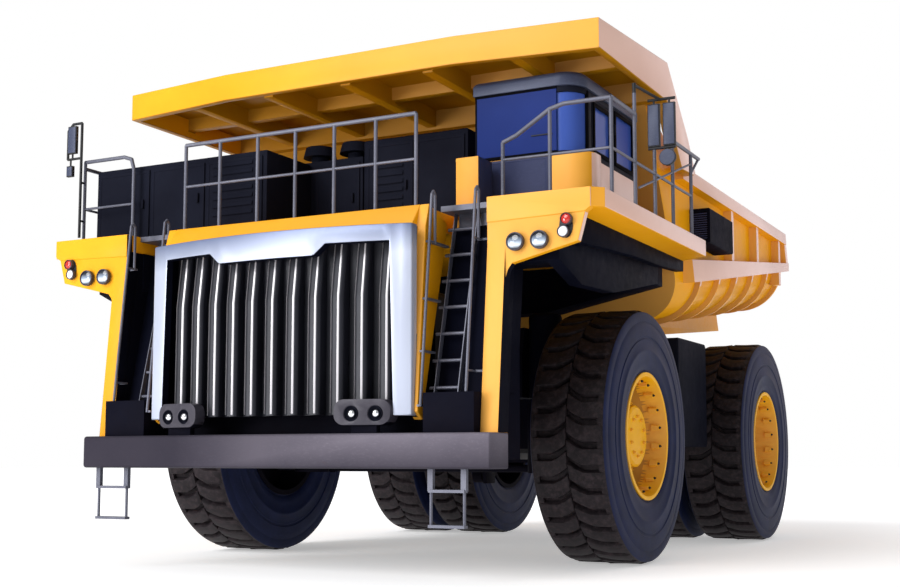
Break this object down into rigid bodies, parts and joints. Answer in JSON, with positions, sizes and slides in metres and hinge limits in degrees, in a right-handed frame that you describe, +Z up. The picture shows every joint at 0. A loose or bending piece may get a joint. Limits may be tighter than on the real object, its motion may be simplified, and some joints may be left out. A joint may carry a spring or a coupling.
{
  "type": "mining dump truck",
  "caption": "Rigid-frame mining dump truck with a tipping rear body, twin rear wheels, steered front wheels, front ladders and a cab on the left deck.",
  "frame": {"origin": "on the ground below the middle of the truck's length and width", "axes": "+X to the truck's left, +Y to its tail, +Z up"},
  "size_m": [7.697, 11.118, 6.22],
  "materials": {
    "yellow_paint": "warm yellow gloss paint",
    "dark_paint": "near-black satin paint",
    "bumper_paint": "gunmetal satin paint",
    "rail_paint": "dark grey paint",
    "bright_trim": "bright plated metal",
    "slat_black": "gloss black with worn bright edges",
    "cast_iron": "raw casting",
    "brushed_steel": "ground steel",
    "chromed_rod": "hard-chromed rod",
    "lamp_lens": "clear lens",
    "tinted_glass": "dark blue tinted glass",
    "seat_fabric": "dark woven seat cloth",
    "black_plastic": "moulded black plastic",
    "tyre_rubber": "blue-black rubber"
  },
  "bodies": {
    "chassis": {"chassis_frame": "dark_paint", "engine_block": "cast_iron", "driveline": "cast_iron", "front_struts": "dark_paint", "rear_axle_housing": "dark_paint", "rear_struts": "brushed_steel", "front_bumper": "bumper_paint", "grille_frame": "bright_trim", "grille_slats": "slat_black", "radiator": "dark_paint", "hood": "yellow_paint", "headlamp_pods": "bumper_paint", "lamps": "lamp_lens", "fenders": "yellow_paint", "decks": "yellow_paint", "deck_skirts": "dark_paint", "ladders": "rail_paint", "cab_shell": "yellow_paint", "cab_roof": "dark_paint", "cab_glass": "tinted_glass", "operator_seat": "seat_fabric", "dashboard": "black_plastic", "deck_cabinets": "dark_paint", "air_intakes": "dark_paint", "deck_rails": "rail_paint", "mirrors": "black_plastic", "fuel_tank": "dark_paint", "hydraulic_tank": "dark_paint"},
    "knuckle_left": {"steering_knuckle_left": "dark_paint"},
    "knuckle_right": {"steering_knuckle_right": "dark_paint"},
    "tie_rod": {"tie_rod": "dark_paint"},
    "front_wheel_left": {"front_rim_left": "yellow_paint", "front_tyre_left": "tyre_rubber"},
    "front_wheel_right": {"front_rim_right": "yellow_paint", "front_tyre_right": "tyre_rubber"},
    "rear_wheels_left": {"rear_rims_left": "yellow_paint", "rear_tyre_outer_left": "tyre_rubber", "rear_tyre_inner_left": "tyre_rubber"},
    "rear_wheels_right": {"rear_rims_right": "yellow_paint", "rear_tyre_outer_right": "tyre_rubber", "rear_tyre_inner_right": "tyre_rubber"},
    "dump_body": {"dump_body": "yellow_paint", "dump_canopy": "yellow_paint", "body_side_box": "dark_paint"},
    "hoist_barrel_left": {"hoist_barrel_left": "dark_paint"},
    "hoist_barrel_right": {"hoist_barrel_right": "dark_paint"},
    "hoist_rod_left": {"hoist_rod_left": "chromed_rod"},
    "hoist_rod_right": {"hoist_rod_right": "chromed_rod"},
    "cab_door": {"cab_door": "yellow_paint", "door_glass": "tinted_glass"}
  },
  "joints": [
    {"name": "steering_left", "type": "hinge", "parent": "chassis", "child": "knuckle_left", "pos_m": [1.75, -1.929, 1.53], "axis": [0, 0, 1], "range_deg": [-38, 38]},
    {"name": "front_wheel_left_spin", "type": "hinge", "parent": "knuckle_left", "child": "front_wheel_left", "pos_m": [2.634, -1.929, 1.53], "axis": [1, 0, 0], "continuous": true},
    {"name": "rear_wheels_left_spin", "type": "hinge", "parent": "chassis", "child": "rear_wheels_left", "pos_m": [2.772, 3.376, 1.53], "axis": [1, 0, 0], "continuous": true},
    {"name": "hoist_barrel_left_swing", "type": "hinge", "parent": "chassis", "child": "hoist_barrel_left", "pos_m": [1, 1.771, 1], "axis": [-1, 0, 0], "range_deg": [0, 12.49]},
    {"name": "hoist_rod_left_slide", "type": "slide", "parent": "hoist_barrel_left", "child": "hoist_rod_left", "axis": [0, 0.2216, 0.9751], "range_m": [0, 1.7338]},
    {"name": "steering_right", "type": "hinge", "parent": "chassis", "child": "knuckle_right", "pos_m": [-1.75, -1.929, 1.53], "axis": [0, 0, 1], "range_deg": [-38, 38]},
    {"name": "front_wheel_right_spin", "type": "hinge", "parent": "knuckle_right", "child": "front_wheel_right", "pos_m": [-2.634, -1.929, 1.53], "axis": [1, 0, 0], "continuous": true},
    {"name": "rear_wheels_right_spin", "type": "hinge", "parent": "chassis", "child": "rear_wheels_right", "pos_m": [-2.772, 3.376, 1.53], "axis": [1, 0, 0], "continuous": true},
    {"name": "hoist_barrel_right_swing", "type": "hinge", "parent": "chassis", "child": "hoist_barrel_right", "pos_m": [-1, 1.771, 1], "axis": [-1, 0, 0], "range_deg": [0, 12.49]},
    {"name": "hoist_rod_right_slide", "type": "slide", "parent": "hoist_barrel_right", "child": "hoist_rod_right", "axis": [0, 0.2216, 0.9751], "range_m": [0, 1.7338]},
    {"name": "tie_rod_swing", "type": "hinge", "parent": "knuckle_left", "child": "tie_rod", "pos_m": [1.75, -1.409, 1.13], "axis": [0, 0, 1], "range_deg": [-38, 38]},
    {"name": "body_tilt", "type": "hinge", "parent": "chassis", "child": "dump_body", "pos_m": [0, 4.571, 2.45], "axis": [-1, 0, 0], "range_deg": [0, 45]},
    {"name": "cab_door_swing", "type": "hinge", "parent": "chassis", "child": "cab_door", "pos_m": [2.956, -2.629, 4.7], "axis": [0, 0, 1], "range_deg": [0, 60]}
  ],
  "couplings": [
    {"joint": "hoist_barrel_left_swing", "follows": "body_tilt", "ratio": 0.27743},
    {"joint": "hoist_rod_left_slide", "follows": "body_tilt", "m_per_rad": 2.2063},
    {"joint": "hoist_barrel_right_swing", "follows": "body_tilt", "ratio": 0.27743},
    {"joint": "hoist_rod_right_slide", "follows": "body_tilt", "m_per_rad": 2.2063},
    {"joint": "steering_right", "follows": "steering_left", "ratio": 1},
    {"joint": "tie_rod_swing", "follows": "steering_left", "ratio": -1}
  ]
}
